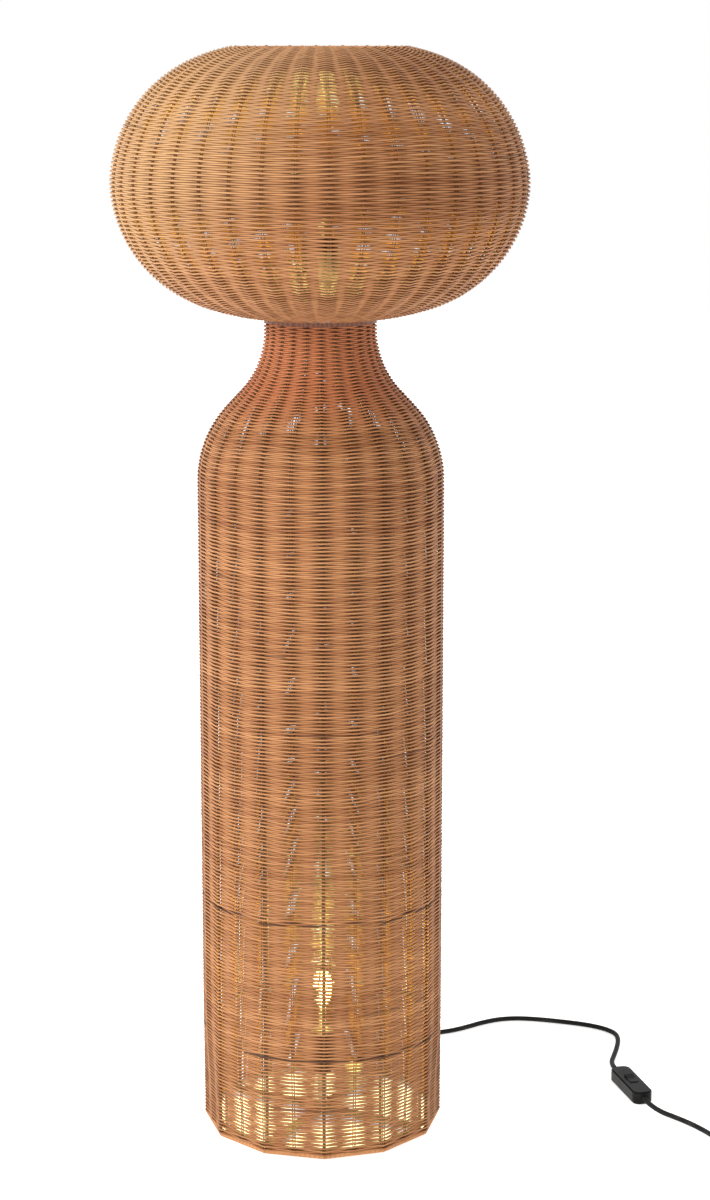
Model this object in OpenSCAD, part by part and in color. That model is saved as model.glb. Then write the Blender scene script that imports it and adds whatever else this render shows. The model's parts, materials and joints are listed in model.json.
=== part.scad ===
// Woven cane floor lamp: a bottle-shaped woven stand and a lift-off woven globe shade,
// each with a bulb inside, a mains lead, an inline rocker switch and a flat two-pin plug.
// Millimetres, +Z up. The origin is on the floor, on the lamp's axis; -Y is the front.

/* [Stand] */
// Outside diameter of the woven stand
body_d = 269; // [250:1:300]
// Height at which the shoulder starts
shoulder_z = 736; // [500:1:900]
// Radius of the shoulder's round
shoulder_r = 121; // [105:1:123]
// Steepest slope of the shoulder, in degrees from upright
shoulder_slope = 43.5; // [38:0.5:48]
// Outside diameter of the neck
neck_d = 121; // [112:1:136]
// Radius of the hollow curve from shoulder to neck
neck_round = 98; // [70:1:110]
// Height of the bound rim that the stand rests on
rim_h = 6.2; // [5:0.1:9]

/* [Shade] */
// Outside diameter of the globe shade
shade_d = 447; // [400:1:480]
// Height of the globe above its widest place, before its end is cut open
shade_half_h = 149.5; // [140:0.5:170]
// Height of the globe below its widest place, before its end is cut open
shade_low_h = 143.5; // [134:0.5:170]
// Diameter of the weave's edge at the top opening
shade_top_d = 188; // [150:1:220]
// Diameter of the weave's edge at the seat
shade_seat_d = 124; // [122:1:150]
// How square the globe's belly is, sideways
globe_p = 3; // [2.4:0.1:3.4]
// How square the globe's belly is, upwards
globe_q = 1.86; // [1.7:0.02:2.2]

/* [Weave] */
// Thickness of the woven layer outside the stakes
weave_t = 3.2; // [2.6:0.1:4]
// Thickness of a stake
stake_t = 1.4; // [1:0.1:2]
// Width of one cane of a stake pair
stake_w = 1.3; // [1:0.1:2]
// Gap between the two canes of a pair
stake_gap = 1.1; // [0.6:0.1:2]
// Stake pairs round the stand
body_pairs = 24; // [24:12:48]
// Stake pairs round the shade
shade_pairs = 40; // [32:4:48]
// Turn of the stand's stakes about the axis, in degrees
body_turn = 1.4; // [0:0.1:5]
// Turn of the shade's stakes about the axis, in degrees
shade_turn = 3.2; // [0:0.1:9]

/* [Frame] */
// Upright wires
rods = 12; // [12, 4]
// Diameter of an upright wire
rod_d = 3.5; // [3:0.1:4.5]
// Diameter of a hoop wire
hoop_d = 3; // [2.5:0.1:4]
// Height of the low hoop
hoop_low_z = 113; // [60:1:180]
// Height of the middle hoop
hoop_middle_z = 270; // [200:1:380]
// Height of the high hoop
hoop_high_z = 500; // [400:1:600]
// Height of the base band, a flat hoop that lies on edge inside the bottom border
band_h = 4.5; // [3.5:0.5:8]
// Thickness of the base band across the radius
band_t = 2.5; // [2:0.1:4]
// Width of a base cross bar
bar_w = 12; // [12:1:18]
// Thickness of a base cross bar
bar_t = 4; // [3:0.5:6]
// Height of the neck collar that the shade sits on
collar_h = 5; // [4:0.5:8]

/* [Lampholders] */
// Outside diameter of a lampholder
holder_d = 39; // [36:1:42]
// Height of a lampholder
holder_h = 47; // [44:1:54]
// Height of the lower holder's foot above the floor
lower_holder_z = 53; // [40:1:90]
// Height of the upper holder's foot above the shade's seat
upper_holder_rise = 38.5; // [30:0.5:60]
// Outside diameter of the threaded tube
pipe_d = 10; // [10:1:12]
// Bore of the threaded tube
pipe_bore = 7; // [6:0.5:8]
// Width of a lock nut across its flats
nut_af = 17; // [15:1:19]
// Height of a lock nut
nut_h = 3.5; // [3:0.5:4]

/* [Bulbs] */
// Diameter of a bulb
bulb_d = 60; // [50:1:66]
// Height of a bulb's glass above its holder
bulb_h = 81; // [76:1:96]
// Diameter of a bulb's screw cap
cap_d = 26.5; // [26.5:0.1:27]

/* [Switch] */
// Length of the inline switch
switch_l = 84; // [70:1:90]
// Width of the inline switch
switch_w = 24; // [22:1:30]
// Height of the inline switch
switch_h = 15; // [14:0.5:20]
// Length of the rocker
rocker_l = 22; // [18:1:26]
// Width of the rocker
rocker_w = 10; // [8:0.5:12]
// Slope of the rocker's raised half, in degrees
rocker_slope = 14; // [10:1:18]

/* [Lead] */
// Diameter of the mains lead
cord_d = 5.8; // [5.8:0.1:6]
// Diameter of the lead that climbs inside the stand
riser_d = 5; // [4:0.1:5.5]
// Height at which the lead leaves the stand
exit_z = 15; // [14:0.5:16]

/* [Hidden] */
// Facets of a full turn
smooth = 96;
// Clearance of pieces of one body that touch along a curve
hair = 0.05;
// Radial clearance of a thread or a pivot that turns
running = 0.05;
// Radial clearance of the shade's spigot in the neck collar
spigot_gap = 0.3;

body_r = body_d / 2;
neck_r = neck_d / 2;
shade_r = shade_d / 2;
shade_top_r = shade_top_d / 2;
shade_seat_r = shade_seat_d / 2;

// How far in from the outside each layer of the wall lies
hoop_in = weave_t + stake_t + hair + hoop_d / 2;
rod_in = hoop_in + hoop_d / 2 + rod_d / 2;
band_in = rod_in + rod_d / 2;
riser_in = band_in + riser_d / 2 + hair;

// The shoulder is an arc, a straight cone and a hollow arc, each tangent to the next
cone_top_r = neck_r + neck_round * (1 - cos(shoulder_slope));
cone_low_r = body_r - shoulder_r * (1 - cos(shoulder_slope));
cone_low_z = shoulder_z + shoulder_r * sin(shoulder_slope);
cone_h = (cone_low_r - cone_top_r) / tan(shoulder_slope);
neck_z = cone_low_z + cone_h + neck_round * sin(shoulder_slope);
neck_straight = 8;
weave_top_z = neck_z + neck_straight;
seat_z = weave_top_z + collar_h;

// Parts of the neck, from the wall inwards
collar_bore_r = neck_r - band_in;
spigot_r = collar_bore_r - spigot_gap;
spigot_t = 3;
spigot_h = 9;
flange_t = 2.5;
spider_z = seat_z - spigot_h - 7;
spider_t = 4;
spider_ring_w = 4;
spider_arm_w = 14;
spider_hub_r = 15;

// The globe's outline is a superellipse, and its centre follows from where it sits
globe_seat_gap = 0.3;
globe_z = seat_z + globe_seat_gap + globe_height(shade_seat_r, shade_low_h);
globe_low = -globe_angle(shade_seat_r);
globe_high = globe_angle(shade_top_r);
globe_steps = 24;
shade_edge_z = globe_z + globe_height(shade_top_r, shade_half_h);
border_r = 3;
flange_r = shade_seat_r * (shade_r - weave_t) / shade_r - hair;

// Base
band_z = 4;
bar_z = band_z + band_h - bar_t;
hub_r = 22;
hub_top = bar_z + bar_t;
pipe_r = pipe_d / 2;
pipe_foot_z = 2;
pipe_in_holder = 7;
upper_holder_z = seat_z + upper_holder_rise;
upper_pipe_z = spider_z - 15;

// Lampholder levels above the holder's foot
holder_r = holder_d / 2;
holder_wall = 2;
foot_h = 5;
foot_r = 12;
cup_h = 16;
core_h = 18;
core_nub_h = 2;
core_wall = 1.7;
lip_h = 2;
cap_r = cap_d / 2;
cap_foot = core_h + core_nub_h + 0.3;

// Bulb
bulb_r = bulb_d / 2;
bulb_neck_r = 13.6;
bulb_wall = 1.2;
bulb_slope = 40;
bulb_hollow_r = 30;
bulb_belly_z = bulb_h - bulb_r;

// Directions, in degrees about the axis
arm_turn = body_turn + 60;
exit_turn = 69;

// Terminal block on a base cross bar, in the bar's own frame
block_u = [54, 90];
block_w = 24;
block_h = 20;
block_z = hub_top;

// Grommet and strain relief where the lead leaves
grommet_r = 6.9;
grommet_flange_r = 8.6;
grommet_flange_t = 2.5;
relief_end_r = 172.5;
relief_tip_r = 3.7;
exit_hole_r = grommet_r + 0.2;
grommet_tail_r = 5;

// Riser inside the stand
riser_turn_r = 25;
riser_bend = 70;
riser_top_r = 30;
tie_levels = [150, 350, 550, 700];

// Switch, lying on the floor with the lead running in at its far end
switch_at = [361, 63];
switch_turn = -75;
switch_round = 9;
switch_wall = 2;
switch_split = switch_h / 2;
switch_edge = 1.5;
pivot_z = switch_h - 4;
pivot_r = 1.5;
screw_r = 2;
screw_inset = 13;
screw_x = switch_l / 2 - screw_inset;

// Lead on the floor, out of the strain relief and into the switch
cord_r = cord_d / 2;
route_to_switch = [
    [62, 161, 15], [68, 178, 13.5], [77, 196, 10], [90, 213, 6], [107, 228, 3.6], [126, 238, 3],
    [144, 244, 3], [160, 251, 3], [177, 262, 3], [196, 276, 3], [217, 287, 3], [240, 291, 3],
    [265, 288, 3], [288, 282, 3], [310, 275, 3], [331, 266, 3], [348, 254, 3], [358.5, 239, 3],
    [360.5, 220, 3], [357, 195, 3], [351, 168, 3], [346.5, 148, 3.4], [345.8, 130, 5.2],
    [347.2, 116, 7], [350.1, 103.6, 7.5]
];

// Lead on the floor, out of the switch and into the coil
route_to_coil = [
    [371.9, 22.4, 7.5], [375.5, 11, 6.8], [382, 0, 5], [391, -10, 3.4], [401, -20, 3],
    [411, -31.5, 3], [421, -44.5, 3], [431, -60, 3], [441, -77, 3], [452, -96, 3.2],
    [464, -115, 4.1]
];

// Coil of the rest of the lead: turns lie side by side, in two layers, on the tie
coil_at = [490, -94];
coil_mid_r = 32;
coil_pitch = 6;
coil_lift = 1.2;
coil_inner_r = coil_mid_r - coil_pitch - cord_r - 0.2;
coil_outer_r = coil_mid_r + coil_pitch + cord_r + 0.2;
coil_top_z = coil_lift + cord_d + 5.3;

// Lead from the coil down to the plug
route_to_plug = [
    [525, -88, 9.4], [524, -76, 8.6], [521, -62, 7.4], [517, -48, 7], [513, -35, 7], [510, -24, 7]
];
plug_turn = 105;
plug_l = 37;
plug_w = 26;
plug_t = 14;
pin_r = 2;
pin_l = 19;
pin_gap = 18.6;

sides = 10;
substeps = 2;

// ---- Outlines ----

function backwards(list) = [for (k = [len(list) - 1 : -1 : 0]) list[k]];

function polar(r, turn, z) = [r * cos(turn), r * sin(turn), z];

// A point in the frame of the base cross bar that carries the terminal block
function on_bar(u, v, z) = [
    u * cos(arm_turn) - v * sin(arm_turn), u * sin(arm_turn) + v * cos(arm_turn), z
];

// The stand's outline, a given distance inside its outer surface
function stand_line(inset, low_z) = concat(
    [[body_r - inset, low_z]],
    [for (k = [0 : 6]) let (a = shoulder_slope * k / 6)
        [body_r - shoulder_r + (shoulder_r - inset) * cos(a),
         shoulder_z + (shoulder_r - inset) * sin(a)]],
    [for (k = [0 : 6]) let (a = shoulder_slope * (6 - k) / 6)
        [neck_r + neck_round - (neck_round + inset) * cos(a),
         neck_z - (neck_round + inset) * sin(a)]],
    [[neck_r - inset, weave_top_z]]
);

// Height from the widest place to a radius, and the angle that gives that radius
function globe_height(r, half_h) = half_h * pow(1 - pow(r / shade_r, globe_p), 1 / globe_q);
function globe_angle(r) = acos(pow(r / shade_r, globe_p / 2));

function globe_point(a, inset) = let (half_h = a < 0 ? shade_low_h : shade_half_h) [
    (shade_r - inset) * pow(cos(a), 2 / globe_p),
    globe_z + (half_h - inset) * sign(a) * pow(abs(sin(a)), 2 / globe_q)
];

function globe_line(inset) = [
    for (k = [0 : globe_steps])
        globe_point(globe_low + (globe_high - globe_low) * k / globe_steps, inset)
];

// ---- Sweeps ----

// A smooth curve through the points, with more points between them
function between(p, k, t) = let (
    a = p[max(k - 1, 0)], b = p[k], c = p[k + 1], d = p[min(k + 2, len(p) - 1)]
) 0.5 * (2 * b + (c - a) * t + (2 * a - 5 * b + 4 * c - d) * t * t
    + (3 * b - a - 3 * c + d) * t * t * t);

function smoothed(p, n) = concat(
    [for (k = [0 : len(p) - 2]) for (s = [0 : n - 1]) between(p, k, s / n)],
    [p[len(p) - 1]]
);

function unit(v) = v / norm(v);

function heading(p, k) = unit(p[min(k + 1, len(p) - 1)] - p[max(k - 1, 0)]);

function ring(centre, along, r, across) = let (
    side = unit(cross(across, along)), up = cross(along, side)
) [for (s = [0 : sides - 1]) let (a = 360 * s / sides)
    centre + r * (cos(a) * side + sin(a) * up)];

// A tube of round section along points that never run in the direction across
module tube(points, r, across = [0, 0, 1]) {
    n = len(points);
    skin = [for (k = [0 : n - 1]) for (q = ring(points[k], heading(points, k), r, across)) q];
    walls = [for (k = [0 : n - 2]) for (s = [0 : sides - 1]) let (t = (s + 1) % sides)
        [k * sides + s, k * sides + t, (k + 1) * sides + t, (k + 1) * sides + s]];
    first = [for (s = [sides - 1 : -1 : 0]) s];
    last = [for (s = [0 : sides - 1]) (n - 1) * sides + s];
    polyhedron(skin, concat([first], walls, [last]), convexity = 6);
}

module flat_ring(outer, inner, z, h) {
    translate([0, 0, z]) difference() {
        cylinder(h = h, r = outer, $fn = smooth);
        translate([0, 0, -1]) cylinder(h = h + 2, r = inner, $fn = smooth);
    }
}

module wire_hoop(r, z, wire_r) {
    translate([0, 0, z]) rotate_extrude($fn = smooth) translate([r, 0])
        circle(r = wire_r, $fn = 32);
}

// Both canes of each pair, cut from a meridian outline
module stake_pairs(outline, count, first_turn, step) {
    for (k = [0 : count - 1]) rotate([0, 0, first_turn + step * k])
        for (side = [-1, 1]) translate([0, side * (stake_w + stake_gap) / 2, 0])
            rotate([90, 0, 0]) linear_extrude(height = stake_w, center = true)
                polygon(outline);
}

// ---- Base and frame ----

module base_border() {
    rim_r = 3.4;
    color("peru") rotate_extrude($fn = smooth) translate([body_r - rim_r, rim_h - rim_r])
        intersection() {
            circle(r = rim_r, $fn = 48);
            translate([-rim_r, rim_r - rim_h]) square([2 * rim_r, rim_h]);
        }
}

module base_band() {
    color("dimgray")
        flat_ring(body_r - band_in, body_r - band_in - band_t, band_z, band_h);
}

module base_cross() {
    band_bore_r = body_r - band_in - band_t;
    reach = sqrt(pow(band_bore_r, 2) - pow(bar_w / 2, 2)) - hair;
    quarter = [[reach, -bar_w / 2], [reach, bar_w / 2], [hub_r, bar_w / 2], [bar_w / 2, hub_r]];
    color("dimgray") translate([0, 0, bar_z]) rotate([0, 0, arm_turn])
        linear_extrude(height = bar_t) difference() {
            polygon([for (turn = [0:90:270], p = quarter) [
                p[0] * cos(turn) - p[1] * sin(turn), p[0] * sin(turn) + p[1] * cos(turn)
            ]]);
            circle(r = pipe_r + hair, $fn = 48);
        }
}

module frame_uprights() {
    color("dimgray") for (k = [0 : rods - 1]) let (turn = body_turn + 360 / rods * k)
        tube([for (p = stand_line(rod_in, band_z)) polar(p[0], turn, p[1])],
            rod_d / 2, polar(1, turn + 90, 0));
}

module stand_hoop(z) {
    color("dimgray") wire_hoop(body_r - hoop_in, z, hoop_d / 2);
}

module hoop_low() { stand_hoop(hoop_low_z); }

module hoop_middle() { stand_hoop(hoop_middle_z); }

module hoop_high() { stand_hoop(hoop_high_z); }

module hoop_shoulder() { stand_hoop(shoulder_z - hoop_d); }

module neck_collar() {
    color("burlywood") flat_ring(neck_r, collar_bore_r, weave_top_z, collar_h);
}

module neck_spider() {
    arm_reach = collar_bore_r - spider_ring_w / 2;
    color("dimgray") difference() {
        union() {
            flat_ring(collar_bore_r, collar_bore_r - spider_ring_w, spider_z, spider_t);
            for (k = [0 : 2]) rotate([0, 0, body_turn + 120 * k])
                translate([0, -spider_arm_w / 2, spider_z])
                    cube([arm_reach, spider_arm_w, spider_t]);
            translate([0, 0, spider_z]) cylinder(h = spider_t, r = spider_hub_r, $fn = 64);
        }
        translate([0, 0, spider_z - 1])
            cylinder(h = spider_t + 2, r = pipe_r + hair, $fn = 48);
    }
}

// ---- Woven wall of the stand ----

module body_weave() {
    color("tan") difference() {
        rotate_extrude($fn = smooth) polygon(concat(
            stand_line(0, rim_h), backwards(stand_line(weave_t, rim_h))));
        rotate([0, 0, exit_turn]) translate([0, 0, exit_z]) rotate([0, 90, 0])
            cylinder(h = body_r + 5, r = exit_hole_r, $fn = 48);
    }
}

function stake_outline() = concat(
    stand_line(weave_t + hair, rim_h), backwards(stand_line(weave_t + hair + stake_t, rim_h)));

module stakes_main() {
    color("saddlebrown")
        stake_pairs(stake_outline(), body_pairs / 2, body_turn, 720 / body_pairs);
}

module stakes_between() {
    color("sienna") stake_pairs(stake_outline(), body_pairs / 2,
        body_turn + 360 / body_pairs, 720 / body_pairs);
}

// ---- Threaded tubes, nuts and lampholders ----

module threaded_tube(low_z, high_z) {
    color("silver") flat_ring(pipe_r, pipe_bore / 2, low_z, high_z - low_z);
}

module lower_pipe() { threaded_tube(pipe_foot_z, lower_holder_z + pipe_in_holder); }

module upper_pipe() { threaded_tube(upper_pipe_z, upper_holder_z + pipe_in_holder); }

module lock_nut(z) {
    translate([0, 0, z]) difference() {
        cylinder(h = nut_h, r = nut_af / sqrt(3), $fn = 6);
        translate([0, 0, -1]) cylinder(h = nut_h + 2, r = pipe_r + hair, $fn = 48);
    }
}

module lower_lock_nuts() {
    color("silver") {
        lock_nut(bar_z - nut_h);
        lock_nut(hub_top);
        lock_nut(lower_holder_z - nut_h);
    }
}

module upper_lock_nuts() {
    color("silver") {
        lock_nut(spider_z - nut_h);
        lock_nut(spider_z + spider_t);
        lock_nut(upper_holder_z - nut_h);
    }
}

module holder_cup(z) {
    color("ivory") translate([0, 0, z]) difference() {
        union() {
            cylinder(h = foot_h, r = foot_r, $fn = 64);
            translate([0, 0, foot_h]) cylinder(h = cup_h - foot_h, r = holder_r, $fn = 64);
        }
        translate([0, 0, foot_h + holder_wall])
            cylinder(h = cup_h, r = holder_r - holder_wall, $fn = 64);
        translate([0, 0, -1]) cylinder(h = cup_h, r = pipe_r + hair, $fn = 48);
    }
}

module holder_core(z) {
    core_r = holder_r - holder_wall - hair;
    color("white") translate([0, 0, z]) {
        translate([0, 0, cup_h - 6]) cylinder(h = core_h - cup_h + 6, r = core_r, $fn = 64);
        translate([0, 0, core_h]) cylinder(h = core_nub_h, r = 3, $fn = 32);
        flat_ring(cap_r + running + core_wall, cap_r + running, core_h, holder_h - lip_h - core_h);
    }
}

module holder_sleeve(z) {
    color("ivory") translate([0, 0, z]) {
        flat_ring(holder_r, holder_r - holder_wall, cup_h, holder_h - lip_h - cup_h);
        flat_ring(holder_r, bulb_neck_r + 0.5, holder_h - lip_h, lip_h);
    }
}

module lower_holder_cup() { holder_cup(lower_holder_z); }

module lower_holder_core() { holder_core(lower_holder_z); }

module lower_holder_sleeve() { holder_sleeve(lower_holder_z); }

module upper_holder_cup() { holder_cup(upper_holder_z); }

module upper_holder_core() { holder_core(upper_holder_z); }

module upper_holder_sleeve() { holder_sleeve(upper_holder_z); }

// ---- Bulbs ----

// Outline of the glass, a given distance inside its outer surface
function bulb_line(inset) = let (round_z = bulb_neck_top()) concat(
    [[bulb_neck_r - inset, 0]],
    [for (k = [0 : 5]) let (a = bulb_slope * k / 5)
        [bulb_neck_r + bulb_hollow_r - (bulb_hollow_r + inset) * cos(a),
         round_z + (bulb_hollow_r + inset) * sin(a)]],
    [for (k = [0 : 12]) let (a = -bulb_slope + (90 + bulb_slope) * k / 12)
        [(bulb_r - inset) * max(cos(a), 0), bulb_belly_z + (bulb_r - inset) * sin(a)]]
);

// Height where the glass starts to widen, so that its cone meets the ball tangentially
function bulb_neck_top() = let (
    ball_r = bulb_r * cos(bulb_slope),
    hollow_end_r = bulb_neck_r + bulb_hollow_r * (1 - cos(bulb_slope))
) bulb_belly_z - bulb_r * sin(bulb_slope) - (ball_r - hollow_end_r) / tan(bulb_slope)
    - bulb_hollow_r * sin(bulb_slope);

module bulb_glass(z) {
    color("white") translate([0, 0, z + holder_h + 0.2]) rotate_extrude($fn = 64)
        polygon(concat(bulb_line(0), backwards(bulb_line(bulb_wall))));
}

module bulb_cap(z) {
    cap_h = holder_h + 0.2 - cap_foot;
    nub_h = 3;
    color("silver") translate([0, 0, z + cap_foot]) {
        cylinder(h = nub_h, r = 5, $fn = 32);
        translate([0, 0, nub_h]) cylinder(h = cap_h - nub_h, r = cap_r, $fn = 64);
    }
}

module bulb_stem(z) {
    stem_r = 4;
    stem_h = bulb_belly_z + 8;
    color("gold") translate([0, 0, z + holder_h + 0.2])
        cylinder(h = stem_h, r = stem_r, $fn = 32);
}

module lower_bulb_cap() { bulb_cap(lower_holder_z); }

module lower_bulb_glass() { bulb_glass(lower_holder_z); }

module lower_bulb_stem() { bulb_stem(lower_holder_z); }

module upper_bulb_cap() { bulb_cap(upper_holder_z); }

module upper_bulb_glass() { bulb_glass(upper_holder_z); }

module upper_bulb_stem() { bulb_stem(upper_holder_z); }

// ---- Wiring inside ----

module terminal_block() {
    color("whitesmoke") rotate([0, 0, arm_turn])
        translate([block_u[0], -block_w / 2, block_z])
            cube([block_u[1] - block_u[0], block_w, block_h]);
}

module supply_lead() {
    side = block_w / 2;
    color("black") tube(smoothed([
        polar(body_r - band_in - band_t - 2, exit_turn, exit_z),
        polar(107, exit_turn, exit_z), on_bar(96, 15, 15.5), on_bar(87, 18, 17.5),
        on_bar(79, 19, 20), on_bar(72, side + 4, 22.5), on_bar(70, side, 23)
    ], substeps), cord_r);
}

module lower_lead() {
    color("white") tube(smoothed([
        on_bar(block_u[0], 0, 24), on_bar(45, 0, 25), on_bar(37, 0, 30), on_bar(32, 0, 40),
        on_bar(29, 0, 50), on_bar(26, 0, 58), on_bar(holder_r, 0, lower_holder_z + 10)
    ], substeps), riser_d / 2);
}

// An arc in the plane of the riser, about a centre, from one angle to another
function riser_arc(centre, r, from, to) = [
    for (k = [0 : 6]) let (a = from + (to - from) * k / 6)
        polar(centre[0] + r * cos(a), arm_turn, centre[1] + r * sin(a))
];

// Out of the terminal block, up one upright, in over the shoulder and into the upper tube
function riser_path() = let (
    wall_r = body_r - riser_in,
    low_z = block_z + 10 + riser_turn_r,
    arc_r = shoulder_r - riser_in,
    bend_r = body_r - shoulder_r + arc_r * cos(riser_bend),
    axis_r = riser_top_r * (1 - cos(riser_bend)),
    run_z = (bend_r - axis_r) / tan(riser_bend),
    top_z = shoulder_z + arc_r * sin(riser_bend) + run_z + riser_top_r * sin(riser_bend)
) concat(
    [polar(block_u[1], arm_turn, block_z + 10)],
    riser_arc([wall_r - riser_turn_r, low_z], riser_turn_r, -90, 0),
    riser_arc([body_r - shoulder_r, shoulder_z], arc_r, 0, riser_bend),
    riser_arc([riser_top_r, top_z], riser_top_r, 180 + riser_bend, 180),
    [[0, 0, upper_holder_z]]
);

module riser_cable() {
    color("white") tube(riser_path(), riser_d / 2, polar(1, arm_turn + 90, 0));
}

module tie_outline(extra) {
    hull() {
        translate([body_r - rod_in, 0]) circle(r = rod_d / 2 + extra, $fn = 32);
        translate([body_r - riser_in, 0]) circle(r = riser_d / 2 + extra, $fn = 32);
    }
}

module cable_ties() {
    tie_w = 3;
    tie_t = 1;
    gap = 0.2;
    color("black") rotate([0, 0, arm_turn]) for (z = tie_levels)
        translate([0, 0, z]) linear_extrude(height = tie_w) difference() {
            tie_outline(gap + tie_t);
            tie_outline(gap);
        }
}

// ---- Shade ----

module shade_weave() {
    color("tan") rotate_extrude($fn = smooth)
        polygon(concat(globe_line(0), backwards(globe_line(weave_t))));
}

module shade_stakes() {
    outer = weave_t + hair;
    color("saddlebrown") stake_pairs(
        concat(globe_line(outer), backwards(globe_line(outer + stake_t))),
        shade_pairs, shade_turn, 360 / shade_pairs);
}

module shade_base_ring() {
    color("dimgray") {
        flat_ring(flange_r, spigot_r - spigot_t, seat_z, flange_t);
        flat_ring(spigot_r, spigot_r - spigot_t, seat_z - spigot_h, spigot_h);
    }
}

module shade_belly_hoop() {
    color("dimgray") wire_hoop(shade_r - hoop_in, globe_z, hoop_d / 2);
}

module shade_top_border() {
    color("peru") wire_hoop(shade_top_r * (shade_r - weave_t) / shade_r - border_r - hair,
        shade_edge_z - border_r + 0.4, border_r);
}

// ---- Lead, switch and plug ----

module cord_grommet() {
    inner_r = body_r - band_in - band_t - 2;
    wall_r = body_r - band_in + hair;
    color("black") rotate([0, 0, exit_turn]) translate([0, 0, exit_z]) rotate([0, 90, 0]) {
        translate([0, 0, inner_r])
            cylinder(h = wall_r - inner_r, r = grommet_tail_r, $fn = 48);
        translate([0, 0, wall_r]) cylinder(h = body_r - wall_r + hair, r = grommet_r, $fn = 48);
        translate([0, 0, body_r + hair])
            cylinder(h = grommet_flange_t, r = grommet_flange_r, $fn = 48);
        translate([0, 0, body_r + hair + grommet_flange_t])
            cylinder(h = relief_end_r - body_r - hair - grommet_flange_t,
                r1 = grommet_r - 0.9, r2 = relief_tip_r, $fn = 48);
    }
}

module cord_to_switch() { color("black") tube(smoothed(route_to_switch, substeps), cord_r); }

module cord_to_coil() { color("black") tube(smoothed(route_to_coil, substeps), cord_r); }

module cord_to_plug() { color("black") tube(smoothed(route_to_plug, substeps), cord_r); }

module cord_coil() {
    color("black") translate([coil_at.x, coil_at.y, 0])
        flat_ring(coil_outer_r, coil_inner_r, coil_lift, coil_top_z - coil_lift);
}

module cord_tie() {
    gap = 0.3;
    tie_t = 0.8;
    tie_w = 8;
    span = coil_outer_r - coil_inner_r + 2 * gap;
    rise = coil_top_z - coil_lift + 2 * gap;
    color("dimgray") translate([coil_at.x, coil_at.y, 0]) rotate([0, 0, -90])
        translate([coil_inner_r - gap, tie_w / 2, coil_lift - gap]) rotate([90, 0, 0])
            linear_extrude(height = tie_w) difference() {
                translate([-tie_t, -tie_t]) square([span + 2 * tie_t, rise + 2 * tie_t]);
                square([span, rise]);
            }
}

module on_switch() {
    translate([switch_at.x, switch_at.y, 0]) rotate([0, 0, switch_turn]) children();
}

module round_plate(l, w, r, z, h) {
    translate([0, 0, z]) linear_extrude(height = h) {
        square([l - 2 * r, w], center = true);
        square([l, w - 2 * r], center = true);
        for (x = [-1, 1]) for (y = [-1, 1])
            translate([x * (l / 2 - r), y * (w / 2 - r)]) circle(r = r, $fn = 48);
    }
}

module switch_base() {
    color("black") on_switch() difference() {
        union() {
            round_plate(switch_l - 2 * switch_edge, switch_w - 2 * switch_edge,
                switch_round - switch_edge, 0, switch_edge);
            round_plate(switch_l, switch_w, switch_round, switch_edge,
                switch_split - switch_edge);
        }
        round_plate(switch_l - 4 * switch_wall, switch_w - 2 * switch_wall,
            switch_round - switch_wall, switch_wall, switch_h);
        for (side = [-1, 1]) translate([side * screw_x, 0, -1])
            cylinder(h = switch_h, r = screw_r + hair, $fn = 32);
    }
}

module switch_cover() {
    window_l = rocker_l + 1;
    window_w = rocker_w + 0.6;
    post_r = 4;
    post_z = switch_split + hair;
    color("black") on_switch() difference() {
        union() {
            difference() {
                union() {
                    round_plate(switch_l, switch_w, switch_round, post_z,
                        switch_h - switch_edge - post_z);
                    round_plate(switch_l - 2 * switch_edge, switch_w - 2 * switch_edge,
                        switch_round - switch_edge, switch_h - switch_edge, switch_edge);
                }
                round_plate(switch_l - 4 * switch_wall, switch_w - 2 * switch_wall,
                    switch_round - switch_wall, 0, switch_h - switch_wall);
            }
            for (side = [-1, 1]) translate([side * screw_x, 0, post_z])
                cylinder(h = switch_h - switch_wall - post_z, r = post_r, $fn = 48);
            for (side = [-1, 1]) translate([-4, side > 0 ? window_w / 2 : -window_w / 2 - 3,
                post_z]) cube([8, 3, switch_h - switch_wall - post_z]);
        }
        translate([-window_l / 2, -window_w / 2, 0]) cube([window_l, window_w, switch_h + 1]);
        translate([0, 0, pivot_z]) rotate([90, 0, 0])
            cylinder(h = window_w + 5, r = pivot_r + running, center = true, $fn = 32);
        for (side = [-1, 1]) translate([side * screw_x, 0, 0])
            cylinder(h = switch_h - 4, r = screw_r - 0.5 + hair, $fn = 32);
    }
}

// How far along a face sloping up from the ridge its end on the rocker's round side lies
function face_run(r, ridge, slope) = -ridge * sin(slope)
    + sqrt(pow(r, 2) - pow(ridge * cos(slope), 2));

// Pressed down on its near half and raised on its far half; its ends are round the pivot
module switch_rocker() {
    end_r = rocker_l / 2;
    proud = 0.8;
    belly = 3.2;
    tuck = 12;
    ridge = switch_h + proud - pivot_z;
    high = face_run(end_r, ridge, rocker_slope);
    flat = face_run(end_r, ridge, 0);
    high_turn = atan2(ridge + high * sin(rocker_slope), high * cos(rocker_slope));
    flat_turn = atan2(ridge, flat);
    color("black") on_switch() translate([0, 0, pivot_z]) rotate([90, 0, 0]) {
        linear_extrude(height = rocker_w, center = true) polygon(concat(
            [[0, ridge]],
            [for (k = [0 : 8]) let (a = 180 - high_turn + (high_turn + tuck) * k / 8)
                [end_r * cos(a), end_r * sin(a)]],
            [[-end_r + 3, -belly], [end_r - 3, -belly]],
            [for (k = [0 : 8]) let (a = -tuck + (flat_turn + tuck) * k / 8)
                [end_r * cos(a), end_r * sin(a)]]
        ));
        cylinder(h = rocker_w + 4, r = pivot_r, center = true, $fn = 32);
    }
}

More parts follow.
